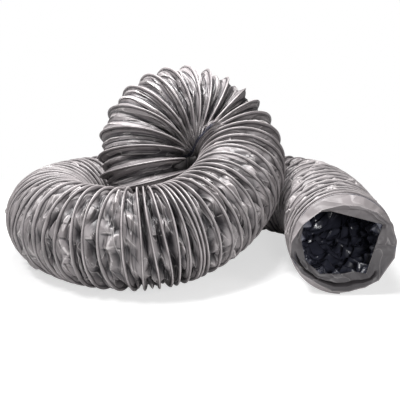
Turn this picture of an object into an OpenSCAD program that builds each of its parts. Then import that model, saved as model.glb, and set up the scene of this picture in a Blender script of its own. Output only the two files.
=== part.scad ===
// Flexible air duct: coated fabric held open by a spring wire helix, with a wear strip sewn over the
// wire and a plain cuff at each end. It lies on the floor in one open coil. One end runs out beside the
// coil, and the other climbs over it in an arch and drops into its middle.
// +Z is up, and the mouth of the free end faces -Y. The origin is on the floor under the middle of the
// whole duct.

/* [Duct] */
// Nominal size: inside diameter of the cuffs
bore = 200; // [150:5:250]
// Thickness of the coated fabric
fabric_t = 1; // [0.6:0.1:1.5]
// Width of the fabric between neighbouring wire turns when it is pulled straight
fabric_w = 66; // [60:1:80]
// Share of the slack fabric that hangs inwards as a fold, where the rest is crumpled
fold_share = 0.5; // [0.3:0.05:0.7]

/* [Wire] */
// Diameter of the spring wire
wire_d = 2.5; // [1.5:0.1:3]

/* [Wear strip] */
// Width of the strip, where the turns leave it room
strip_w = 9; // [6:0.5:12]
// Thickness of the strip
strip_t = 1.2; // [0.8:0.1:2]

/* [Cuffs] */
// Length of a cuff beyond the last turn of wire
cuff_len = 40; // [30:5:80]
// Length of a cuff under the first turns, where it is sewn in
cuff_seat = 22; // [20:1:30]
// Thickness of a cuff, which is the fabric with its hem
cuff_t = 1.5; // [1:0.1:2.5]

/* [Fits] */
// Gap between layers that lie on each other
layer_gap = 0.1; // [0.05:0.05:0.3]
// Gap between a cuff and the fabric sewn round it
cuff_gap = 0.3; // [0.1:0.1:0.6]
// Gap between the ends of wire turns that move apart
turn_gap = 1.5; // [1:0.1:3]

/* [Hidden] */
$fn = 96;

// Corners of the helix in each turn, and how many corners from a duct's end the folds begin. They
// reach their full depth after as many corners again.
SIDES = 12;
FADE = 11;

// Radii at the corners of the turns, from the cuff outwards
cuff_r = bore / 2 + cuff_t;
lining_r = (cuff_r + cuff_gap) / cos(180 / SIDES);
fabric_r = lining_r + fabric_t;
wire_r = fabric_r + layer_gap + wire_d / 2;
strip_r = wire_r + wire_d / 2 + layer_gap;
duct_r = strip_r + strip_t;

// The duct's centreline from the mouth to the hidden end, in duct radii, so that a height of 1 lies on
// the floor. It is a cubic B-spline with these control points.
ROUTE = [
    [2.9, -2.65, 1], [2.9, -2.05, 1], [3, -1.25, 1], [3.05, -0.5, 1], [3.05, 0.25, 1],
    [2.95, 1, 1], [2.3, 1.85, 1], [1.2, 2.3, 1], [0, 2.35, 1], [-1.2, 2.25, 1],
    [-2.25, 1.75, 1], [-3.05, 0.85, 1], [-3.15, -0.35, 1], [-2.65, -1.5, 1], [-1.7, -2.3, 1],
    [-0.6, -2.45, 1], [0.3, -1.85, 1.2], [0.95, -0.95, 1.6], [1.3, 0.4, 2.1], [0.9, 1, 2.85],
    [0.1, 1, 3.3], [-0.7, 0.65, 3.2], [-1.2, 0.2, 2.5], [-0.95, -0.05, 1.5], [-0.95, -0.05, 0.6]
];

// Wire turns in each span between neighbouring control points
SPAN_TURNS = [3, 2, 2, 2, 2, 3, 3, 2, 2, 4, 5, 5, 5, 5, 6, 7, 6, 4, 3, 3, 3, 3, 3, 2];

// Wire turns at which the duct is divided: the free end, its loose turns and the lengths of the coil.
// The first turn of strip on each length is a piece of its own, the foot that the length rests on.
FIRST_LOOSE = 3;
FIRST_HELD = 11;
TURNS = 85;
LENGTHS = [
    ["back", FIRST_HELD, 21], ["coil_left", 21, 40], ["coil_front", 40, 51],
    ["coil_right", 51, 68], ["arch", 68, 80], ["drop", 80, TURNS]
];

function unit(v) = v / norm(v);

// A point of the spline between control points b and c, and the direction of travel there
function curve_point(a, b, c, d, t) =
    ((1 - t) ^ 3 * a + (3 * t ^ 3 - 6 * t ^ 2 + 4) * b + (-3 * t ^ 3 + 3 * t ^ 2 + 3 * t + 1) * c + t ^ 3 * d) / 6;
function curve_way(a, b, c, d, t) =
    unit(-(1 - t) ^ 2 * a + (3 * t ^ 2 - 4 * t) * b + (-3 * t ^ 2 + 2 * t + 1) * c + t ^ 2 * d);

// The control points with one more past each end, so that the curve starts and ends at the outer ones
PADDED = concat(
    [2 * ROUTE[0] - ROUTE[1]], ROUTE, [2 * ROUTE[len(ROUTE) - 1] - ROUTE[len(ROUTE) - 2]]
);

// The span that a turn falls in, with the share of the span before it
function place_of(turn, span = 0) =
    (span == len(SPAN_TURNS) - 1 || turn < SPAN_TURNS[span])
        ? [span, turn / SPAN_TURNS[span]]
        : place_of(turn - SPAN_TURNS[span], span + 1);

// One station for each corner of the helix: centre, direction of travel, and two radial directions
LAST = TURNS * SIDES;
PLACES = [for (i = [0:LAST]) place_of(i / SIDES)];
CENTRES = [for (p = PLACES)
    duct_r * curve_point(PADDED[p[0]], PADDED[p[0] + 1], PADDED[p[0] + 2], PADDED[p[0] + 3], p[1])];
WAYS = [for (p = PLACES)
    curve_way(PADDED[p[0]], PADDED[p[0] + 1], PADDED[p[0] + 2], PADDED[p[0] + 3], p[1])];
function carried(n, way) = unit(n - (n * way) * way);
DOWNS = [for (i = 0, n = [0, 0, -1]; i <= LAST; i = i + 1, n = carried(n, WAYS[min(i, LAST)])) n];

// The helix corner numbered i, at radius r from the centreline at station s, moved along the duct
function corner(i, r, s, along = 0) =
    let (turned = 360 * i / SIDES, side = cross(WAYS[s], DOWNS[s]))
    CENTRES[s] + r * (cos(turned) * DOWNS[s] + sin(turned) * side) + along * WAYS[s];
function ridge(i, r) = corner(i, r, i);

// Distance from one turn of wire to the next at a corner, and the nearer of its two neighbours
function pitch_at(i) = norm(ridge(i + SIDES, fabric_r) - ridge(i, fabric_r));
function room_at(i) = min(pitch_at(min(i, LAST - SIDES)), pitch_at(max(i - SIDES, 0)));

// How far the fabric hangs in between two turns of wire. Next to a cuff it has no room to.
LAST_FOLD = LAST - SIDES;
function fade_at(i) = max(0, min(1, (i - FADE) / FADE, (LAST_FOLD - i - FADE) / FADE));
function fold_at(i) =
    fade_at(i) * fold_share * sqrt(max(0, fabric_w ^ 2 - pitch_at(i) ^ 2)) / 2;
function valley(i, r) = corner(i, r - fold_at(i), i + SIDES / 2);

// Triangles on a strip between two rows of points, which start at a and b. Faces turn over with flip.
function strip_faces(a, b, count, flip = false) = [
    for (k = [0:count - 1], t = [[a + k, b + k, a + k + 1], [a + k + 1, b + k, b + k + 1]])
        flip ? [t[2], t[1], t[0]] : t
];
function join_faces(a, b, c, d) = [[a, b, c], [a, c, d]];

// A length of folded fabric: an outer and an inner skin, closed along both cut ends
module fabric(from, to) {
    first = from * SIDES;
    folds = (to - from) * SIDES;
    last_ridge = folds + SIDES;
    points = concat(
        [for (k = [0:last_ridge]) ridge(first + k, fabric_r)],
        [for (k = [0:last_ridge]) ridge(first + k, lining_r)],
        [for (k = [0:folds]) valley(first + k, fabric_r)],
        [for (k = [0:folds]) valley(first + k, lining_r)]
    );
    ridge_in = last_ridge + 1;
    valley_out = 2 * ridge_in;
    valley_in = valley_out + folds + 1;
    color("dimgray")
        polyhedron(
            points = points,
            faces = concat(
                strip_faces(0, valley_out, folds),
                strip_faces(valley_out, SIDES, folds),
                strip_faces(ridge_in, valley_in, folds, true),
                strip_faces(valley_in, ridge_in + SIDES, folds, true),
                strip_faces(ridge_in, 0, SIDES),
                strip_faces(folds, ridge_in + folds, SIDES),
                join_faces(0, ridge_in, valley_in, valley_out),
                join_faces(valley_out, valley_in, ridge_in + SIDES, SIDES),
                join_faces(folds, valley_out + folds, valley_in + folds, ridge_in + folds),
                join_faces(valley_out + folds, folds + SIDES, ridge_in + folds + SIDES, valley_in + folds)
            )
        );
}

// A section moved a little towards the next one, to leave a gap at the start of a turn that moves
function started(section, next, gap) = [
    for (k = [0:len(section) - 1]) section[k] + gap * unit(next[k] - section[k])
];

// A bar along the helix through the given sections, which all have the same even number of points. The
// first half of the points runs over the outer skin and the rest back along the inner one. Each skin's
// faces lie over the other's, and pairs of points, from the first and last inwards, close the ends.
module helix_bar(sections) {
    size = len(sections[0]);
    last = size * (len(sections) - 1);
    points = [for (s = sections, p = s) p];
    polyhedron(
        points = points,
        faces = concat(
            [for (k = [0:size:last - size], j = [0:size / 2 - 1], t = join_faces(
                k + j + 1, k + size + j + 1, k + size + j, k + j
            )) t],
            [for (k = [0:size:last - size], j = [size / 2:size - 1], t = join_faces(
                k + j, k + (j + 1) % size, k + size + (j + 1) % size, k + size + j
            )) t],
            [for (j = [0:size / 2 - 2], t = join_faces(
                size - 1 - j, size - 2 - j, j + 1, j
            )) t],
            [for (j = [0:size / 2 - 2], t = join_faces(
                last + j, last + j + 1, last + size - 2 - j, last + size - 1 - j
            )) t]
        )
    );
}

// The sections of a bar from one turn to another, which starts after the given gap
function sections(from, to, shape, gap) =
    let (all = [for (i = [from * SIDES:to * SIDES]) shape(i)])
    concat([started(all[0], all[1], gap)], [for (k = [1:len(all) - 1]) all[k]]);

// Turns of spring wire
wire_shape = function(i) [
    corner(i, wire_r, i, -wire_d / 2),
    corner(i, wire_r + wire_d / 2, i),
    corner(i, wire_r, i, wire_d / 2),
    corner(i, wire_r - wire_d / 2, i)
];
module wire(from, to, gap = 0) {
    color("silver") helix_bar(sections(from, to, wire_shape, gap));
}

// Turns of the wear strip, which is bent over the wire, so its edges lie lower than its middle
strip_shape = function(i)
    let (half = min(strip_w, 0.7 * room_at(i)) / 2, edge_r = strip_r - half * wire_d / strip_w)
    [
        corner(i, edge_r, i, -half),
        corner(i, strip_r + strip_t, i),
        corner(i, edge_r, i, half),
        corner(i, strip_r, i)
    ];
module wear_strip(from, to, gap = 0) {
    color("gray") helix_bar(sections(from, to, strip_shape, gap));
}

// One loose turn's fold of fabric, from its own wire to the next turn's
fold_shape = function(i) [
    ridge(i, fabric_r),
    valley(i, fabric_r),
    ridge(i + SIDES, fabric_r),
    ridge(i + SIDES, lining_r),
    valley(i, lining_r),
    ridge(i, lining_r)
];
module fold(turn) {
    color("dimgray") helix_bar(sections(turn, turn + 1, fold_shape, turn_gap));
}

// A plain sleeve that a spigot goes into. Its open end is at height 0, and it runs up to its seam.
module cuff() {
    color("darkgray")
        rotate_extrude()
            translate([bore / 2, 0])
                square([cuff_t, cuff_len + cuff_seat]);
}

module mouth_cuff() {
    translate(CENTRES[0] - cuff_len * WAYS[0]) rotate([-90, 0, 0]) cuff();
}

module hidden_cuff() {
    translate(CENTRES[LAST] - [0, 0, cuff_len]) cuff();
}

// Every loose turn has a fold of its own, and so has the last turn before them
LOOSE = [FIRST_LOOSE:FIRST_HELD - 1];
FOLDING = [FIRST_LOOSE - 1:FIRST_HELD - 1];

mouth_cuff();
hidden_cuff();
fabric(0, FIRST_LOOSE - 1);  // fabric_mouth
wire(0, FIRST_LOOSE);  // wire_mouth
wear_strip(0, FIRST_LOOSE);  // strip_mouth
for (t = FOLDING) {
    fold(t);
}
for (t = LOOSE) {
    wire(t, t + 1, turn_gap);
    wear_strip(t, t + 1, turn_gap);
}
for (l = LENGTHS) {
    fabric(l[1], min(l[2], TURNS - 1));
    wire(l[1], l[2], turn_gap);
    wear_strip(l[1], l[1] + 1, turn_gap);
    wear_strip(l[1] + 1, l[2], turn_gap);
}
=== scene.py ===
import math

import bmesh
import bpy
import numpy as np
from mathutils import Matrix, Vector


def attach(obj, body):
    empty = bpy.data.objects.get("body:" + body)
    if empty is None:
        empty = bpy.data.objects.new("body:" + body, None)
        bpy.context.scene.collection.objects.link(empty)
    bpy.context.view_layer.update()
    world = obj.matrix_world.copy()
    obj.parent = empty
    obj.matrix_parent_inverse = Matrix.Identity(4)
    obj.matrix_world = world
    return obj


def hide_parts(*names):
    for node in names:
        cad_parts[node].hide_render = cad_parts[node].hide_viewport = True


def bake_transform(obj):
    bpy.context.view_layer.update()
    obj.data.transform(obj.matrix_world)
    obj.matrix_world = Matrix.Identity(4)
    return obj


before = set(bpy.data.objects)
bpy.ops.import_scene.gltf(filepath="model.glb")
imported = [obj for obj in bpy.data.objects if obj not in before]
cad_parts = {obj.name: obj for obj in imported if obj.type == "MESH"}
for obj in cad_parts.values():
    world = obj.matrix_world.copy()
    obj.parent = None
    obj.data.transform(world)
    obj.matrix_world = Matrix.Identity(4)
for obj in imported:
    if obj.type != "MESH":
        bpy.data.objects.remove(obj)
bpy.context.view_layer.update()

# ---------------------------------------------------------------- the duct's sizes, in metres
DUCT_R = 0.11029  # the duct over its ridges, which its route is measured in
FABRIC_R = 0.1063  # the outside of the fabric at a ridge
FABRIC_T = 0.001  # fabric with its lining
FABRIC_W = 0.066  # fabric between two turns of wire
WIRE_R = 0.00125
WIRE_GAP = 0.0002  # between the wire and the fabric under it
STRIP_W = 0.009
STRIP_T = 0.0008
STRIP_GAP = 0.0003  # between the strip and the wire
CUFF_T = 0.0012
CUFF_LEN = 0.048  # from the last turn of wire to the hem
CUFF_SEAT = 0.012  # sewn in under the turn
HIDDEN_LEN = 0.04  # the same two for the cuff inside the coil
HIDDEN_SEAT = 0.012

# Points that steer the centreline, in duct radii
ROUTE = [
    (2.9, -2.65, 1), (2.9, -2.05, 1), (3, -1.25, 1), (3.05, -0.5, 1), (3.05, 0.25, 1),
    (2.95, 1, 1), (2.3, 1.85, 1), (1.2, 2.3, 1), (0, 2.35, 1), (-1.2, 2.25, 1),
    (-2.25, 1.75, 1), (-3.05, 0.85, 1), (-3.15, -0.35, 1), (-2.65, -1.5, 1), (-1.7, -2.3, 1),
    (-0.6, -2.45, 1), (0.3, -1.85, 1.2), (0.95, -0.95, 1.6), (1.3, 0.4, 2.1), (0.9, 1, 2.85),
    (0.1, 1, 3.3), (-0.7, 0.65, 3.2), (-1.2, 0.2, 2.5), (-0.95, -0.05, 1.5), (-0.95, -0.05, 0.6),
]
# The turns of wire between neighbouring points
SPAN_TURNS = [3, 2, 2, 2, 2, 3, 3, 2, 2, 4, 5, 5, 5, 5, 6, 7, 6, 4, 3, 3, 3, 3, 3, 2]
TURNS = sum(SPAN_TURNS)

# Rows of the mesh along one turn, and columns across the fabric between two turns
ROWS, COLUMNS = 192, 20
# The fabric lies this far above the floor at least
FLOOR_GAP = 0.0012
# Points closer than this are one
WELD = 1e-6

# The free end is cut into a stretch for each of these turns of wire, counted from the mouth
FIRST_TURN, LAST_TURN = 2, 10
# The turn that others are bunched round, how many turns away that reaches, and how strong it is
BUNCH, BUNCH_REACH, BUNCH_PULL = 53.2, 3.2, 1.35
# How strongly turns of wire slide to and fro elsewhere
LOOSE_SLIDE = 0.55
# Slack that is left where the fabric is pulled out straight
LEAST_SLACK = 0.022
# Folds are shut where the turns lie this close, and stand open where they are this much farther apart
SHUT, OPENING = 0.012, 0.014
# Lengths that lie still: piece, first and last turn, and what its solids are called
LENGTHS = [
    ("back", 11.5, 21, "back"), ("coil_left_back", 21, 31, "coil_left"),
    ("coil_left_front", 31, 40, "coil_left"), ("coil_front", 40, 51, "coil_front"),
    ("coil_right_front", 51, 60, "coil_right"), ("coil_right_back", 60, 68, "coil_right"),
    ("arch", 68, 80, "arch"), ("drop", 80, 85, "drop"),
]


# ---------------------------------------------------------------- the way the duct lies
def lay_route():
    """Centre, travel and two radial directions at every row along the duct."""
    points = np.array(ROUTE) * DUCT_R
    padded = np.vstack([2 * points[0] - points[1], points, 2 * points[-1] - points[-2]])
    starts = np.concatenate([[0], np.cumsum(SPAN_TURNS)])
    turn = np.arange(TURNS * ROWS + 1) / ROWS
    span = np.minimum(np.searchsorted(starts, turn, side="right") - 1, len(SPAN_TURNS) - 1)
    t = ((turn - starts[span]) / np.array(SPAN_TURNS)[span])[:, None]
    a, b, c, d = (padded[span + k] for k in range(4))
    centre = ((1 - t) ** 3 * a + (3 * t**3 - 6 * t**2 + 4) * b
              + (-3 * t**3 + 3 * t**2 + 3 * t + 1) * c + t**3 * d) / 6
    way = -((1 - t) ** 2) * a + (3 * t**2 - 4 * t) * b + (-3 * t**2 + 2 * t + 1) * c + t**2 * d
    way /= np.linalg.norm(way, axis=1)[:, None]
    down = [np.array([0.0, 0.0, -1.0])]
    for w in way[1:]:
        carried = down[-1] - w * (w @ down[-1])
        down.append(carried / math.sqrt(carried @ carried))
    down = np.array(down)
    return centre, way, down, np.cross(way, down)


def around(route, station, row, radius):
    """Points at a radius from the centreline, at the row's place round the helix."""
    centre, _, down, side = route
    low = np.clip(np.floor(station).astype(int), 0, len(centre) - 1)
    high = np.minimum(low + 1, len(centre) - 1)
    part = (station - low)[..., None]
    turned = (2 * math.pi * row / ROWS)[..., None]
    radial = (np.cos(turned) * (down[low] * (1 - part) + down[high] * part)
              + np.sin(turned) * (side[low] * (1 - part) + side[high] * part))
    return centre[low] * (1 - part) + centre[high] * part + radius[..., None] * radial


def smooth(x):
    x = np.clip(x, 0, 1)
    return x * x * (3 - 2 * x)


# ---------------------------------------------------------------- meshes
def put_in_scene(name, data):
    obj = bpy.data.objects.new(name, data)
    bpy.context.scene.collection.objects.link(obj)
    return obj


def grid_object(name, points, uv, close=False, wear=None):
    """A grid moved onto rows and columns of points, with a place on the cloth for each and, where it
    is given, the values that steer the shade and the pale creases painted into its colour. With close,
    its last column meets its first and its ends are filled."""
    rows, columns = points.shape[:2]
    bm = bmesh.new()
    bmesh.ops.create_grid(bm, x_segments=columns - 1, y_segments=rows - 1, size=1.0)
    mesh = bpy.data.meshes.new(name)
    bm.to_mesh(mesh)
    mesh.vertices.foreach_set("co", points.reshape(-1, 3).astype(np.float32).ravel())
    corner = np.empty(len(mesh.loops), np.int32)
    mesh.loops.foreach_get("vertex_index", corner)
    for layer_name, values in (("cloth", uv), ("wear", wear)):
        if values is not None:
            layer = mesh.uv_layers.new(name=layer_name)
            layer.data.foreach_set("uv", values.reshape(-1, 2)[corner].astype(np.float32).ravel())
    bm.clear()
    bm.from_mesh(mesh)
    bmesh.ops.remove_doubles(bm, verts=bm.verts, dist=WELD)
    rims = [e for e in bm.edges if e.is_boundary]
    if close:
        bmesh.ops.holes_fill(bm, edges=rims, sides=0)
        bmesh.ops.recalc_face_normals(bm, faces=bm.faces)
    for edge in rims:
        edge.smooth = False
    bm.to_mesh(mesh)
    bm.free()
    mesh.shade_smooth()
    return put_in_scene(name, mesh)


def turn_outwards(obj, centre, direction):
    """Turns the faces over if the one nearest to a point looks the wrong way."""
    bm = bmesh.new()
    bm.from_mesh(obj.data)
    near = min(bm.faces, key=lambda f: (f.calc_center_median() - Vector(centre)).length)
    if near.normal.dot(Vector(direction)) < 0:
        bmesh.ops.reverse_faces(bm, faces=bm.faces)
        bm.to_mesh(obj.data)
    bm.free()


def cut_between(source, name, first, last):
    """The part of a mesh between two planes, each a point and the direction of travel there."""
    bm = bmesh.new()
    bm.from_mesh(source.data)
    for plane, behind in ((first, True), (last, False)):
        if plane is not None:
            bmesh.ops.bisect_plane(
                bm, geom=[*bm.verts, *bm.edges, *bm.faces], dist=1e-7,
                plane_co=plane[0], plane_no=plane[1], clear_inner=behind, clear_outer=not behind)
    for edge in bm.edges:
        if edge.is_boundary:
            edge.smooth = False
    mesh = bpy.data.meshes.new(name)
    bm.to_mesh(mesh)
    bm.free()
    mesh.shade_smooth()
    return put_in_scene(name, mesh)


def thicken(obj, thickness):
    """Gives a sheet its thickness inwards. The lining takes the material after the face's own."""
    solid = obj.modifiers.new("thickness", "SOLIDIFY")
    solid.thickness = thickness
    solid.offset = -1
    solid.material_offset = 1
    solid.use_even_offset = False


# ---------------------------------------------------------------- fabric
def knots(rng, count, spacing):
    """Random values from -1 to 1 along the rows, in straight runs between uneven knots."""
    places = np.cumsum(rng.uniform(0.5, 1.5, int(count / spacing * 1.5) + 4) * spacing) - 2 * spacing
    return np.interp(np.arange(count), places, rng.uniform(-1, 1, len(places)))


def fan(turn):
    """How far a turn belongs to the arch, where the fabric hangs in one deep fold between turns."""
    return smooth((turn - 64) / 5) * smooth((85 - turn) / 3)


def sway(row):
    """How many rows the turns of wire have slid along the duct, each a little askew. They can't slide
    in the free end, whose joints need them in place, and hardly in the arch, which is stretched."""
    turn, angle = row / ROWS, 2 * math.pi * row / ROWS
    slid = (0.34 * np.sin(2 * math.pi * turn / 5.3 + 1.1) + 0.22 * np.sin(2 * math.pi * turn / 3.1 + angle)
            + 0.20 * np.sin(2 * math.pi * turn / 4.3 - 2 * angle + 2.0))
    held = smooth((turn - 11.5) / 3) * smooth((TURNS - turn) / 2) * (1 - 0.75 * fan(turn))
    # some turns are bunched together at the coil's front
    off = (turn - BUNCH) / BUNCH_REACH
    bunched = BUNCH_PULL * off * np.exp(-off * off / 2)
    return ROWS * (LOOSE_SLIDE * held * slid - bunched)


def lay_fabric(route):
    """Rows and columns of fabric, from the mouth's seam on, that hang in uneven folds between the turns
    of wire. The valley between two turns wanders from one to the other, forks and closes again."""
    rng = np.random.default_rng(5)
    row = np.arange(-ROWS, TURNS * ROWS + 1)[:, None] + np.zeros((1, COLUMNS + 1))
    across = np.linspace(0, 1, COLUMNS + 1)[None, :] + np.zeros_like(row)
    last = TURNS * ROWS
    start, end = np.clip(row, 0, last), np.clip(row + ROWS, 0, last)
    # at both ends the fabric runs out to nothing over one turn
    wide = (end - start) / ROWS
    start, end = start + sway(start), end + sway(end)
    station = start + (end - start) * across
    ridge = around(route, station[:, 0], row[:, 0], np.full(len(row), FABRIC_R))
    pitch = np.linalg.norm(ridge[ROWS:] - ridge[:-ROWS], axis=1)
    pitch = np.append(pitch, np.full(ROWS, pitch[-1]))[:, None]
    slack = np.sqrt(np.maximum((LEAST_SLACK * wide) ** 2, (FABRIC_W * wide) ** 2 - pitch**2)) / 2
    # how far a row belongs to the arch, to the coil on the floor and to the free end
    turn = row[:, :1] / ROWS
    fanned = fan(turn)
    loose = smooth((turn - 9) / 6) * (1 - fanned)
    strand = smooth((13 - turn) / 3)

    def fold_noise(short, long):
        """Noise from -1 to 1 with knots that are a short way apart, or in the arch a long way."""
        return (knots(rng, len(row), short)[:, None] * (1 - fanned)
                + knots(rng, len(row), long)[:, None] * fanned)

    # the valley's place between two turns, where x is 0.5, and whether it is one fold or two
    valley = 0.5 + (0.36 - 0.16 * fanned) * fold_noise(11, 34)
    x = np.where(across < valley, across / valley, 1 + (across - valley) / (1 - valley)) / 2
    double = np.clip(0.45 - 0.1 * fanned + 1.3 * fold_noise(16, 36), 0, 1) * (1 - strand)
    swell = 0.5 + 0.5 * fold_noise(10, 28)
    # tents are slanting ridges that cross the valley, 13 to 25 rows apart
    slant = np.sign(knots(rng, len(row), 32))[:, None]
    lane = np.cumsum(1 / (19 + 6 * knots(rng, len(row), 60)))[:, None]
    tent = 1 - np.abs(2 * np.mod(lane + 0.8 * slant * across, 1) - 1)
    one = 1 - np.abs(2 * x - 1)
    two = 1 - np.abs(2 * np.mod(2 * x, 1) - 1)
    depth = slack * ((1 - double) * one + double * ((0.2 + 0.2 * fanned) * one + 0.6 * two))
    opened = smooth((pitch - SHUT) / OPENING)
    depth *= 1.16 + 0.16 * strand - (0.10 + (0.42 * loose + 1.1 * strand) * opened) * tent
    bulge = np.sin(math.pi * across)
    depth -= (0.002 + (0.012 * loose + 0.010 * strand) * opened) * swell * bulge
    # small pleats run along the deep folds of the arch
    pleat = np.abs(2 * np.mod(2.5 * across + 0.8 * fold_noise(30, 40), 1) - 1) - 0.5
    depth += 0.009 * fanned * pleat * bulge
    # where the turns are squeezed to less than 15 mm apart, the fabric has to come out
    squeezed = smooth((0.015 - pitch) / 0.008) * wide * (0.35 + 0.65 * fanned)
    out = 0.006 + 0.014 * fanned
    depth = depth * (1 - squeezed) - out * squeezed * bulge
    # it stands out past the wire only a little
    depth = np.maximum(depth, -0.0035 - 0.004 * loose - 0.005 * strand - out * squeezed)
    points = around(route, station, row, FABRIC_R - depth)
    points[..., 2] = np.maximum(points[..., 2], FLOOR_GAP)
    return points


def painted_shade_and_crease_of(fabric, route):
    """How deep each point lies below the ridges, from 0 to 1 at 25 mm or in the arch at 45 mm, and how
    sharply the fabric is folded there, from 0 in a valley through 0.5 where it is flat to 1 on a crease
    that stands out. The two steer the shade painted into deep and hollow fabric and its pale creases."""
    row = np.arange(len(fabric))[:, None] - ROWS + np.zeros((1, COLUMNS + 1))
    across = np.linspace(0, 1, COLUMNS + 1)[None, :]
    last = TURNS * ROWS
    start, end = np.clip(row, 0, last), np.clip(row + ROWS, 0, last)
    start, end = start + sway(start), end + sway(end)
    outward = fabric - around(route, start + (end - start) * across, row, np.zeros(row.shape))
    radius = np.linalg.norm(outward, axis=-1)
    depth = np.clip((FABRIC_R - radius) / (0.025 + 0.020 * fan(row / ROWS)), 0, 1)
    outward /= radius[..., None]
    lift = np.zeros(row.shape)
    for axis in (0, 1):
        before, after = np.roll(fabric, 1, axis), np.roll(fabric, -1, axis)
        bend = ((fabric - (before + after) / 2) * outward).sum(-1)
        inside = [slice(None), slice(None)]
        inside[axis] = slice(1, -1)
        lift[tuple(inside)] += bend[tuple(inside)]
    return np.stack([depth, np.clip(0.5 + lift / 0.003, 0, 1)], axis=-1)


def fabric_sheet(name, fabric, wear, first, last):
    """The fabric from one row to another, counted along the fine rows from the mouth's seam."""
    rows = np.arange(max(first, -ROWS), last + 1)
    points = fabric[rows + ROWS]
    u = rows[:, None] * 2 * math.pi * FABRIC_R / ROWS + np.zeros((1, COLUMNS + 1))
    v = np.zeros((len(rows), 1)) + np.linspace(0, FABRIC_W, COLUMNS + 1)[None, :]
    return grid_object(name, points, np.stack([u, v], axis=-1), wear=wear[rows + ROWS])


# ---------------------------------------------------------------- wire and wear strip
def unit(v):
    return v / np.linalg.norm(v, axis=-1, keepdims=True)


def ridge_line(fabric, route, first, last):
    """Every second row of the ridge, with its outward direction and the direction across it."""
    rows = np.arange(first, last + 1, 2)
    ridge = fabric[rows + ROWS, 0]
    station = rows + sway(rows)
    outward = unit(ridge - around(route, station, rows, np.zeros(len(rows))))
    side = unit(np.cross(unit(np.gradient(ridge, axis=0)), outward))
    return rows, ridge, outward, side


def beside_ridge(fabric, rows, distance, sense):
    """Points on the fabric beside the ridge, and the fabric's outward direction there."""
    column = distance / FABRIC_W * COLUMNS
    whole, part = int(column), column - int(column)

    def at(r, k):
        r = np.clip(r + (ROWS if sense > 0 else 0), 0, len(fabric) - 1)
        return fabric[r, k if sense > 0 else COLUMNS - k]

    inner, outer = at(rows, whole), at(rows, whole + 1)
    along = at(rows + 2, whole + 1) - at(rows - 2, whole + 1)
    normal = unit(np.cross(along, (outer - inner) * sense))
    for _ in range(3):
        normal[1:-1] = unit(normal[:-2] + 2 * normal[1:-1] + normal[2:])
    return inner * (1 - part) + outer * part, normal


def sweep(name, sections, lengths):
    """A closed bar through sections of points."""
    sections = np.concatenate([sections, sections[:, :1]], axis=1)
    around_it = np.linspace(0, 1, sections.shape[1])[None, :] + np.zeros((len(sections), 1))
    uv = np.stack([around_it, lengths[:, None] + np.zeros_like(around_it)], axis=-1)
    return grid_object(name, sections, uv, close=True)


def wire(name, fabric, route, first, last):
    rows, ridge, outward, side = ridge_line(fabric, route, first, last)
    middle = ridge + (WIRE_R + WIRE_GAP) * outward
    sections = np.stack([
        middle + WIRE_R * (math.cos(a) * outward + math.sin(a) * side)
        for a in np.linspace(0, 2 * math.pi, 6, endpoint=False)
    ], axis=1)
    return sweep(name, sections, rows * 2 * math.pi * FABRIC_R / ROWS)


def wear_strip(name, fabric, route, first, last):
    """A strip that goes over the wire and lies on the fabric on both sides of it."""
    rows, ridge, outward, side = ridge_line(fabric, route, first, last)
    edge_near, face_near = beside_ridge(fabric, rows, STRIP_W / 2, -1)
    bend_near, _ = beside_ridge(fabric, rows, STRIP_W / 4, -1)
    edge_far, face_far = beside_ridge(fabric, rows, STRIP_W / 2, 1)
    bend_far, _ = beside_ridge(fabric, rows, STRIP_W / 4, 1)
    sense = np.sign(np.mean((face_far * outward).sum(-1)))
    face_near, face_far = face_near * sense, face_far * sense
    side = side * np.sign(np.mean((side * (edge_near - edge_far)).sum(-1)))
    top = WIRE_R * 2 + STRIP_GAP

    def profile(lift):
        """From one edge over the wire to the other, lifted by the strip's thickness or not."""
        return [
            edge_near + (WIRE_GAP + lift) * face_near,
            bend_near + (STRIP_GAP + lift) * face_near,
            ridge + (top * 0.62) * outward + (WIRE_R + lift) * side,
            ridge + (top + lift) * outward + (WIRE_R * 0.4) * side,
            ridge + (top + lift) * outward - (WIRE_R * 0.4) * side,
            ridge + (top * 0.62) * outward - (WIRE_R + lift) * side,
            bend_far + (STRIP_GAP + lift) * face_far,
            edge_far + (WIRE_GAP + lift) * face_far,
        ]

    sections = np.stack(profile(STRIP_T) + profile(0)[::-1], axis=1)
    return sweep(name, sections, rows * 2 * math.pi * FABRIC_R / ROWS)


# ---------------------------------------------------------------- cuffs
# Where the plain end at the mouth is creased over, and where its hem lies: the angle from +X in
# degrees, the distance from the duct's middle and how far it is in front of the last turn of wire
MOUTH_CREASE = [
    (25, 0.106, 0.012), (48, 0.095, 0.018), (74, 0.088, 0.021), (95, 0.087, 0.021), (122, 0.090, 0.018),
    (153, 0.096, 0.012), (178, 0.107, 0.006), (194, 0.112, 0.006), (217, 0.105, 0.009),
    (244, 0.099, 0.010), (259, 0.103, 0.010), (279, 0.103, 0.010), (298, 0.104, 0.010),
    (315, 0.109, 0.010), (345, 0.112, 0.006), (4, 0.111, 0.006),
]
MOUTH_HEM = [
    (27, 0.090, 0.000), (112, 0.076, 0.006), (128, 0.086, 0.004), (142, 0.087, 0.002), (154, 0.091, 0.000),
    (173, 0.086, -0.006), (206, 0.084, -0.004), (235, 0.078, 0.004), (268, 0.061, 0.014),
    (292, 0.060, 0.016), (309, 0.082, 0.004),
]


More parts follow.
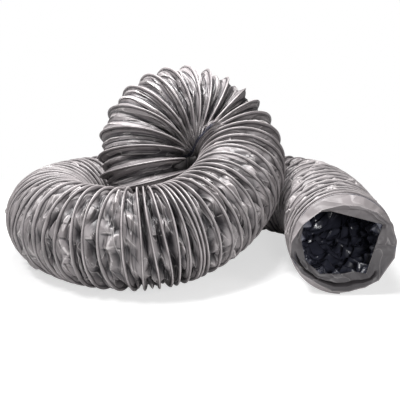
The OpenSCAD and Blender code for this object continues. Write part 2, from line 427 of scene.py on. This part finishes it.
def polygon_radius(corners, angles):
    """Distance from the middle to a polygon's sides, in the directions of the angles."""
    flat = [r * np.array([math.cos(math.radians(a)), math.sin(math.radians(a))]) for a, r, _ in corners]
    rays = np.stack([np.cos(angles), np.sin(angles)], axis=-1)
    radius = np.full(len(angles), np.inf)
    for p, q in zip(flat, flat[1:] + flat[:1]):
        edge = q - p
        det = rays[:, 0] * -edge[1] + rays[:, 1] * edge[0]
        reach = (p[0] * -edge[1] + p[1] * edge[0]) / det
        part = (rays[:, 0] * p[1] - rays[:, 1] * p[0]) / det
        hit = (reach > 0) & (part >= -1e-9) & (part <= 1 + 1e-9)
        radius = np.where(hit, np.minimum(radius, reach), radius)
    return radius


def flat_painted_shade_and_crease(points):
    """Values for fabric that is neither deep nor folded, which gets no painted shade and no pale crease."""
    return np.zeros((*points.shape[:2], 2)) + np.array([0.0, 0.5])


def cloth_places(rows, count, first, last):
    """Places on the cloth for rows of points round the duct, from one length along it to another."""
    u = np.linspace(0, 2 * math.pi * FABRIC_R, count + 1)[None, :] + np.zeros((rows, 1))
    v = np.linspace(first, last, rows)[:, None] + np.zeros_like(u)
    return np.stack([u, v], axis=-1)


def mouth_cuff(route):
    """The plain end of the fabric, which is creased in front of the last turn of wire and folded in
    over the mouth. Both the crease and the hem run straight from corner to corner."""
    centre, way = route[0][0], route[1][0]
    count, seat_steps, steps = 288, 4, 28
    crease_at = 0.4
    angles = np.linspace(0, 2 * math.pi, count, endpoint=False)
    degrees = np.degrees(angles)

    def rim(corners):
        turned, _, ahead = (np.array(part, float) for part in zip(*corners))
        return polygon_radius(corners, angles), np.interp(degrees, turned, ahead, period=360)

    crease, crease_ahead = rim(MOUTH_CREASE)
    hem, hem_ahead = rim(MOUTH_HEM)
    # the flap is doubled under itself along the bottom and the left, and a little rippled all round
    doubled = smooth((degrees - 185) / 20) * smooth((325 - degrees) / 15)
    waves = degrees / 37 + 0.3 * np.sin(2 * angles) + 0.2 * np.sin(5 * angles)
    ripple = np.abs(2 * np.mod(waves, 1) - 1) - 0.5
    points = []
    for k in range(-seat_steps, steps + 1):
        t = max(k, 0) / steps
        # the seat lies inside the first turn's fabric, and past the seam the cuff comes out level with it
        if k < 0:
            radius = np.full(count, FABRIC_R - 0.0011)
            forward = np.full(count, CUFF_SEAT * k / seat_steps)
        else:
            out, fold = min(1.0, t / crease_at), max(0.0, (t - crease_at) / (1 - crease_at))
            seam = FABRIC_R - 0.0011 + 0.0017 * min(1.0, t / 0.04)
            radius = seam + (crease - seam) * out + (hem - crease) * fold
            forward = crease_ahead * out + (hem_ahead - crease_ahead) * fold
            groove = max(0.0, 1 - abs(fold - 0.42) / 0.11)
            forward = forward - 0.014 * doubled * groove
            radius = radius + 0.004 * ripple * math.sin(math.pi * out)
            forward = forward + 0.006 * ripple * math.sin(math.pi * fold)
        ring = (centre - forward[:, None] * way
                + radius[:, None] * (np.cos(angles)[:, None] * np.array([1.0, 0.0, 0.0])
                                     + np.sin(angles)[:, None] * np.array([0.0, 0.0, 1.0])))
        points.append(ring)
    points = np.array(points)
    points = np.concatenate([points, points[:, :1]], axis=1)
    # painted shade on the folded-in part, darker at the bottom, and painted highlight on crease and hem
    # edge
    shade_and_crease_values = flat_painted_shade_and_crease(points)
    part = np.clip(np.arange(-seat_steps, steps + 1) / steps, 0, 1)[:, None]
    painted_shade = 0.47 - 0.14 * np.sin(np.append(angles, angles[0]))[None, :]
    shade_and_crease_values[..., 0] = painted_shade * np.clip((part - crease_at) / 0.04, 0, 1)
    shade_and_crease_values[..., 1] += 0.5 * (np.abs(part - crease_at) < 0.02) + 0.4 * (part > 0.98)
    cloth = cloth_places(len(points), count, -CUFF_SEAT, CUFF_LEN)
    cuff = grid_object("cuff_mouth", points, cloth, wear=shade_and_crease_values)
    cuff.data.set_sharp_from_angle(angle=math.radians(14))
    return cuff


def hidden_cuff(route):
    """The plain end of the fabric inside the coil, which hangs straight."""
    centre, way, down, side = (part[-1] for part in route)
    count, seat_steps, steps = 144, 3, 10
    angles = np.linspace(0, 2 * math.pi, count, endpoint=False)
    points = []
    for k in range(-seat_steps, steps + 1):
        t = k / steps
        wave = 0.0035 * max(t, 0) * (np.sin(5 * angles + 1) + 0.6 * np.sin(8 * angles))
        radius = FABRIC_R - 0.0016 - 0.006 * max(t, 0) + wave
        points.append(centre + HIDDEN_LEN * t * way + radius[:, None] * (
            np.cos(angles)[:, None] * down + np.sin(angles)[:, None] * side))
    points = np.array(points)
    points = np.concatenate([points, points[:, :1]], axis=1)
    cloth = cloth_places(len(points), count, -HIDDEN_SEAT, HIDDEN_LEN)
    return grid_object("cuff_hidden", points, cloth, wear=flat_painted_shade_and_crease(points))


# ---------------------------------------------------------------- materials
def linear(code):
    """An sRGB hex colour as linear red, green, blue and alpha."""
    parts = [int(code[k:k + 2], 16) / 255 for k in (0, 2, 4)]
    return (*(c / 12.92 if c <= 0.04045 else ((c + 0.055) / 1.055) ** 2.4 for c in parts), 1.0)


def add(tree, kind, settings=None, links=None):
    """Adds a node, with its properties and input values, and links from other nodes' outputs."""
    node = tree.nodes.new("ShaderNode" + kind)
    for key, value in (settings or {}).items():
        if isinstance(key, str) and hasattr(node, key):
            setattr(node, key, value)
        else:
            node.inputs[key].default_value = value
    for key, output in (links or {}).items():
        tree.links.new(output, node.inputs[key])
    return node


def new_material(name):
    material = bpy.data.materials.new(name)
    material.use_nodes = True
    tree = material.node_tree
    tree.nodes.clear()
    return material, tree


def ramp(tree, factor, stops):
    node = add(tree, "ValToRGB", links={"Fac": factor})
    elements = node.color_ramp.elements
    while len(elements) < len(stops):
        elements.new(0.5)
    for element, (place, colour) in zip(elements, stops):
        element.position = place
        element.color = colour
    return node


def creases(tree, uv, scale, turn, distortion):
    """Sharp creases: the middle lines of a stretched noise, from 0 on a crease up to 1 beside it."""
    stretched = add(tree, "Mapping", {"Scale": (*scale, 1), "Rotation": (0, 0, turn)}, {"Vector": uv})
    noise = add(tree, "TexNoise", {"Scale": 1.0, "Detail": 0.6, "Distortion": distortion},
                {"Vector": stretched.outputs["Vector"]})
    far = add(tree, "MapRange", {"From Min": 0.5, "From Max": 0.62}, {"Value": noise.outputs["Fac"]})
    near = add(tree, "MapRange", {"From Min": 0.5, "From Max": 0.38}, {"Value": noise.outputs["Fac"]})
    return add(tree, "Math", {"operation": "MAXIMUM"},
               {0: far.outputs["Result"], 1: near.outputs["Result"]}).outputs["Value"]


def coated_fabric(name, tones, roughness, creased=1.0, coat=0.0, painted_shade=0.92, along=(9.0, 30.0)):
    """PVC-coated polyester: a woven scrim that shows faintly through a satin plastic skin. Shade is
    painted into its valleys and the hollows of its folds, and sharp creases are painted pale, partly
    for the PVC's whitening and partly as painted highlight. The tones go from that painted shade to the
    pale creases."""
    valley, dark, light, crease = (linear(tone) for tone in tones)
    material, tree = new_material(name)
    place = add(tree, "TexCoord")
    uv = place.outputs["UV"]
    cloudy = add(tree, "TexNoise", {"Scale": 9.0, "Detail": 3.0, "Roughness": 0.6},
                 {"Vector": place.outputs["Object"]})
    colour = ramp(tree, cloudy.outputs["Fac"], [(0.3, dark), (0.7, light)])
    shade_and_crease_values = add(tree, "UVMap", {"uv_map": "wear"})
    split = add(tree, "SeparateXYZ", links={"Vector": shade_and_crease_values.outputs["UV"]})
    # painted shade: the deeper the fabric lies below the ridges, the more of the dark valley tone
    deep = add(tree, "MapRange", {"From Min": 0.08, "From Max": 0.55, "To Max": painted_shade},
               {"Value": split.outputs["X"]})
    with_painted_shade = add(tree, "MixRGB", {"Color2": valley},
                {"Color1": colour.outputs["Color"], "Fac": deep.outputs["Result"]})
    # painted shade in the hollows of the folds
    hollow_shade = add(tree, "MapRange", {"From Min": 0.46, "From Max": 0.2, "To Max": min(0.9, 0.8 * creased)},
                 {"Value": split.outputs["Y"]})
    lined = add(tree, "MixRGB", {"Color2": valley},
                {"Color1": with_painted_shade.outputs["Color"], "Fac": hollow_shade.outputs["Result"]})
    # creases that stand out are painted pale: partly the PVC's whitening, partly painted highlight
    sharp = add(tree, "MapRange", {"From Min": 0.75, "From Max": 1.0, "To Max": min(0.9, 0.6 * creased)},
                {"Value": split.outputs["Y"]})
    # creases up to 100 mm long that run with the wire, and shorter ones across it
    long = creases(tree, uv, along, 0.15, 0.5)
    short = creases(tree, uv, (11.0, 15.0), -0.6, 0.8)
    # thin pale lines along the long creases: partly the PVC's whitening, partly painted highlight
    fine = add(tree, "MapRange", {"From Min": 0.10, "From Max": 0.0, "To Max": 0.4 * creased},
               {"Value": long})
    pale = add(tree, "Math", {"operation": "MAXIMUM"},
               {0: sharp.outputs["Result"], 1: fine.outputs["Result"]})
    mixed = add(tree, "MixRGB", {"Color2": crease},
                {"Color1": lined.outputs["Color"], "Fac": pale.outputs["Value"]})
    # the scrim's threads are 1 mm apart
    warp = add(tree, "TexWave", {"bands_direction": "X", "Scale": 160.0}, {"Vector": uv})
    weft = add(tree, "TexWave", {"bands_direction": "Y", "Scale": 160.0}, {"Vector": uv})
    weave = add(tree, "Math", {"operation": "MULTIPLY"},
                {0: warp.outputs["Fac"], 1: weft.outputs["Fac"]})
    weave_bump = add(tree, "Bump", {"Strength": 0.1, "Distance": 0.0003},
                     {"Height": weave.outputs["Value"]})
    long_bump = add(tree, "Bump", {"Strength": min(1.0, 0.3 + 0.7 * creased), "Distance": 0.0045,
                                   "invert": True},
                    {"Height": long, "Normal": weave_bump.outputs["Normal"]})
    short_bump = add(tree, "Bump", {"Strength": min(1.0, 0.1 + 0.7 * creased), "Distance": 0.0026},
                     {"Height": short, "Normal": long_bump.outputs["Normal"]})
    shader = add(tree, "BsdfPrincipled",
                 {"Roughness": roughness, "Specular IOR Level": 0.5, "Coat Weight": coat,
                  "Coat Roughness": 0.2},
                 {"Base Color": mixed.outputs["Color"], "Normal": short_bump.outputs["Normal"]})
    add(tree, "OutputMaterial", links={"Surface": shader.outputs["BSDF"]})
    return material


def strip_finish():
    """The same coated fabric, folded over the wire. A painted highlight runs along its crest in patches,
    painted shade darkens it towards its edges, and it is sewn down with a row of 4 mm stitches along
    each edge."""
    material, tree = new_material("sewn_wear_strip")
    place = add(tree, "TexCoord")
    split = add(tree, "SeparateXYZ", links={"Vector": place.outputs["UV"]})
    cloudy = add(tree, "TexNoise", {"Scale": 30.0, "Detail": 3.0}, {"Vector": place.outputs["Object"]})
    colour = ramp(tree, cloudy.outputs["Fac"], [(0.35, linear("777273")), (0.65, linear("989293"))])
    # the crest is 7/32 of the way round the strip's section, and the edges are 0 and 7/16 of it
    off = add(tree, "Math", {"operation": "SUBTRACT", 1: 0.219}, {0: split.outputs["X"]})
    off = add(tree, "Math", {"operation": "ABSOLUTE"}, {0: off.outputs["Value"]})
    # painted highlight along the crest, broken into patches
    crest = add(tree, "MapRange", {"From Min": 0.055, "From Max": 0.02, "To Max": 1.0},
                {"Value": off.outputs["Value"]})
    patches = add(tree, "TexNoise", {"Scale": 22.0, "Detail": 1.0}, {"Vector": place.outputs["Object"]})
    patchy_highlight = add(tree, "MapRange", {"From Min": 0.40, "From Max": 0.68, "To Min": 0.12, "To Max": 0.7},
                 {"Value": patches.outputs["Fac"]})
    crest = add(tree, "Math", {"operation": "MULTIPLY"},
                {0: crest.outputs["Result"], 1: patchy_highlight.outputs["Result"]})
    # painted shade towards the strip's edges, where it lies on the fabric
    edge = add(tree, "MapRange", {"From Min": 0.10, "From Max": 0.2, "To Max": 0.75},
               {"Value": off.outputs["Value"]})
    with_painted_shade = add(tree, "MixRGB", {"Color2": linear("454246")},
                {"Color1": colour.outputs["Color"], "Fac": edge.outputs["Result"]})
    pale = add(tree, "MixRGB", {"Color2": linear("d2cdcc")},
               {"Color1": with_painted_shade.outputs["Color"], "Fac": crest.outputs["Value"]})
    stitch = add(tree, "Math", {"operation": "PINGPONG", 1: 0.002}, {0: split.outputs["Y"]})
    gap = add(tree, "Math", {"operation": "GREATER_THAN", 1: 0.0004}, {0: stitch.outputs["Value"]})
    row = add(tree, "Math", {"operation": "COMPARE", 1: 0.175, 2: 0.012}, {0: off.outputs["Value"]})
    sewn = add(tree, "Math", {"operation": "MULTIPLY"}, {0: gap.outputs["Value"], 1: row.outputs["Value"]})
    mixed = add(tree, "MixRGB", {"Color2": linear("2c2a2d")},
                {"Fac": sewn.outputs["Value"], "Color1": pale.outputs["Color"]})
    bump = add(tree, "Bump", {"Strength": 0.5, "Distance": 0.0006, "invert": True},
               {"Height": sewn.outputs["Value"]})
    shader = add(tree, "BsdfPrincipled", {"Roughness": 0.4, "Specular IOR Level": 0.5},
                 {"Base Color": mixed.outputs["Color"], "Normal": bump.outputs["Normal"]})
    add(tree, "OutputMaterial", links={"Surface": shader.outputs["BSDF"]})
    return material


def wire_finish():
    """Hard-drawn spring steel wire with a thin zinc coat: a fine lengthwise grain."""
    material, tree = new_material("galvanised_spring_wire")
    place = add(tree, "TexCoord")
    grain = add(tree, "TexNoise", {"Scale": 600.0, "Detail": 2.0}, {"Vector": place.outputs["Object"]})
    colour = ramp(tree, grain.outputs["Fac"], [(0.3, linear("85878a")), (0.7, linear("b2b4b6"))])
    shader = add(tree, "BsdfPrincipled", {"Metallic": 1.0, "Roughness": 0.35},
                 {"Base Color": colour.outputs["Color"]})
    add(tree, "OutputMaterial", links={"Surface": shader.outputs["BSDF"]})
    return material


# ---------------------------------------------------------------- stage
def make_stage():
    bm = bmesh.new()
    bmesh.ops.create_grid(bm, x_segments=1, y_segments=1, size=6.0)
    mesh = bpy.data.meshes.new("floor")
    bm.to_mesh(mesh)
    bm.free()
    floor = put_in_scene("floor", mesh)
    material, tree = new_material("studio_floor")
    path = add(tree, "LightPath")
    paper = add(tree, "BsdfDiffuse", {"Color": linear("e6e6e6")})
    white = add(tree, "Emission", {"Color": (1, 1, 1, 1), "Strength": 1.0})
    glow = add(tree, "Emission", {"Color": (1, 1, 1, 1), "Strength": 0.62})
    lit = add(tree, "BsdfDiffuse", {"Color": (0.55, 0.55, 0.55, 1)})
    shaded = add(tree, "AddShader", links={0: glow.outputs["Emission"], 1: lit.outputs["BSDF"]})
    # the shadow is kept near the duct, and the floor is plain white from 1.3 m away
    place = add(tree, "TexCoord")
    away = add(tree, "VectorMath", {"operation": "LENGTH"}, {0: place.outputs["Object"]})
    fade = add(tree, "MapRange", {"interpolation_type": "SMOOTHSTEP", "From Min": 0.55, "From Max": 1.3},
               {"Value": away.outputs["Value"]})
    backdrop = add(tree, "MixShader", links={
        "Fac": fade.outputs["Result"], 1: shaded.outputs["Shader"], 2: white.outputs["Emission"]})
    seen = add(tree, "Math", {"operation": "MAXIMUM"},
               {0: path.outputs["Is Camera Ray"], 1: path.outputs["Is Transmission Ray"]})
    mixed = add(tree, "MixShader", links={
        "Fac": seen.outputs["Value"], 1: paper.outputs["BSDF"], 2: backdrop.outputs["Shader"]})
    add(tree, "OutputMaterial", links={"Surface": mixed.outputs["Shader"]})
    floor.data.materials.append(material)

    world = bpy.data.worlds.new("studio")
    world.use_nodes = True
    bpy.context.scene.world = world
    tree = world.node_tree
    tree.nodes.clear()
    path = add(tree, "LightPath")
    soft = add(tree, "Background", {"Color": (1, 1, 1, 1), "Strength": 0.10})
    seen = add(tree, "Background", {"Color": (1, 1, 1, 1), "Strength": 1.0})
    mixed = add(tree, "MixShader", links={
        "Fac": path.outputs["Is Camera Ray"], 1: soft.outputs["Background"], 2: seen.outputs["Background"]})
    add(tree, "OutputWorld", links={"Surface": mixed.outputs["Shader"]})


def area_light(name, place, target, size, power):
    data = bpy.data.lights.new(name, "AREA")
    data.shape = "RECTANGLE"
    data.size, data.size_y = size
    data.energy = power
    lamp = put_in_scene(name, data)
    lamp.location = place
    lamp.rotation_euler = (Vector(target) - Vector(place)).to_track_quat("-Z", "Y").to_euler()


def make_lights():
    """A soft key from the upper left, a weak fill, a lamp over the arch and a small one that looks
    into the mouth."""
    area_light("key", (-0.9, -0.8, 1.9), (0, 0, 0.15), (0.5, 0.4), 24)
    area_light("fill", (1.7, -1.5, 1.0), (0.2, 0, 0.12), (0.8, 0.7), 8)
    area_light("top", (-0.10, -0.12, 1.15), (-0.04, 0.02, 0.2), (0.6, 0.5), 22)
    area_light("front", (0.22, -1.6, 0.50), (0.32, -0.2, 0.08), (0.2, 0.15), 6.5)


def make_camera():
    data = bpy.data.cameras.new("camera")
    # a 55 mm lens, 1.5 m in front of the coil, that looks 13 degrees down
    data.lens = 55.35
    data.sensor_width = 36.0
    camera = put_in_scene("camera", data)
    camera.location = (0.0256, -1.5093, 0.4808)
    camera.rotation_euler = (math.radians(77.13), 0, 0)
    bpy.context.scene.camera = camera


def plane_at(route, turn):
    station = round(turn * ROWS)
    return route[0][station], route[1][station]


def blend_turn(piece):
    """Bakes the piece's placing into its mesh."""
    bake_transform(piece)


def dress(piece, slot, *materials):
    for material in materials:
        piece.data.materials.append(material)


def make_duct():
    outer = coated_fabric(
        "coated_fabric_outside", ("343235", "7d7879", "979192", "d6d1d0"), 0.46)
    # the cuff's tones are a little darker than the outside's: painted shade for flaps that face sideways
    hem = coated_fabric(
        "coated_fabric_hem_shaded", ("343235", "7a7576", "928c8d", "dcd7d6"), 0.42, creased=0.4, painted_shade=0.9)
    lining = coated_fabric(
        "coated_fabric_inside", ("3a3b46", "444654", "555768", "7f8190"), 0.22, creased=0.6, coat=0.5,
        painted_shade=0.55)
    # in the arch the fabric is drawn into fine creases that run with the wire; its tones are painted
    # lighter and its pale creases stronger: painted light and painted highlight where the arch is lit more
    drawn_painted_lighter = coated_fabric(
        "coated_fabric_drawn_painted_lighter", ("3a383b", "827d7e", "a39d9e", "e6e1e0"), 0.38, creased=1.2, painted_shade=0.8,
        along=(8.0, 75.0))
    strip_look = strip_finish()
    wire_look = wire_finish()

    route = lay_route()
    fabric = lay_fabric(route)
    wear = painted_shade_and_crease_of(fabric, route)

    def row(turn):
        return round(turn * ROWS)

    def finish_length(name, skin, outside, start, end):
        """Adds the wire and the strip to a length of fabric, and dresses all three."""
        core = wire(f"wire_{name}_core", fabric, route, row(start), row(end))
        cover = wear_strip(f"strip_{name}_cover", fabric, route, row(start), row(end))
        dress(skin, "fabric", outside, lining)
        dress(core, "wire", wire_look)
        dress(cover, "strip", strip_look)
        thicken(skin, FABRIC_T)
        return ("fabric", skin), ("wire", core), ("strip", cover)

    # the free end, in one piece first, and then cut into stretches
    whole = fabric_sheet("loose", fabric, wear, -ROWS, row(LENGTHS[0][1]))
    probe = row(1)
    turn_outwards(whole, fabric[probe + ROWS, 0], fabric[probe + ROWS, 0] - route[0][probe])
    stretches = [("mouth", None, FIRST_TURN + 0.5)]
    stretches += [(f"turn_{k}", k + 0.5, k + 1.5) for k in range(FIRST_TURN, LAST_TURN + 1)]
    for name, start, end in stretches:
        first = None if start is None else plane_at(route, start)
        skin = cut_between(whole, f"skin_{name}", first, plane_at(route, end))
        for kind, piece in finish_length(name, skin, outer, start or 0, end):
            if start is None:
                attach(piece, "free_end")
            else:
                blend_turn(piece)
            # wire and strip have no solid that is named for the first of these turns
            if kind == "fabric" or name != f"turn_{FIRST_TURN}":
                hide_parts(f"{kind}_{name}")
    bpy.data.objects.remove(whole)

    for name, start, end, solid in LENGTHS:
        first = row(start) - ROWS if name == "back" else row(start)
        skin = fabric_sheet(f"sheet_{name}", fabric, wear, first, row(end))
        probe = row(start + 2)
        turn_outwards(skin, fabric[probe + ROWS, 0], fabric[probe + ROWS, 0] - route[0][probe])
        if name == "back":
            cut = cut_between(skin, "skin_back", plane_at(route, start), None)
            bpy.data.objects.remove(skin)
            skin = cut
        else:
            skin.name = f"skin_{name}"
        for kind, piece in finish_length(name, skin, drawn_painted_lighter if name == "arch" else outer, start, end):
            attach(piece, "coil")
            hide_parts(f"{kind}_{solid}")
            if kind == "strip":
                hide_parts(f"strip_foot_{solid}")

    for cuff, solid, body, flat, held in (
        (mouth_cuff(route), "mouth_cuff", "free_end", CUFF_LEN + CUFF_SEAT, "folded"),
        (hidden_cuff(route), "hidden_cuff", "coil", HIDDEN_LEN + HIDDEN_SEAT, "hung"),
    ):
        middle = route[0][0] if body == "free_end" else route[0][-1]
        corner = cuff.data.vertices[0].co
        turn_outwards(cuff, corner, corner - Vector(middle))
        dress(cuff, "cuff", hem, lining)
        thicken(cuff, CUFF_T)
        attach(cuff, body)
        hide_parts(solid)


bpy.context.scene.view_settings.view_transform = "Standard"
make_stage()
make_lights()
make_camera()
make_duct()
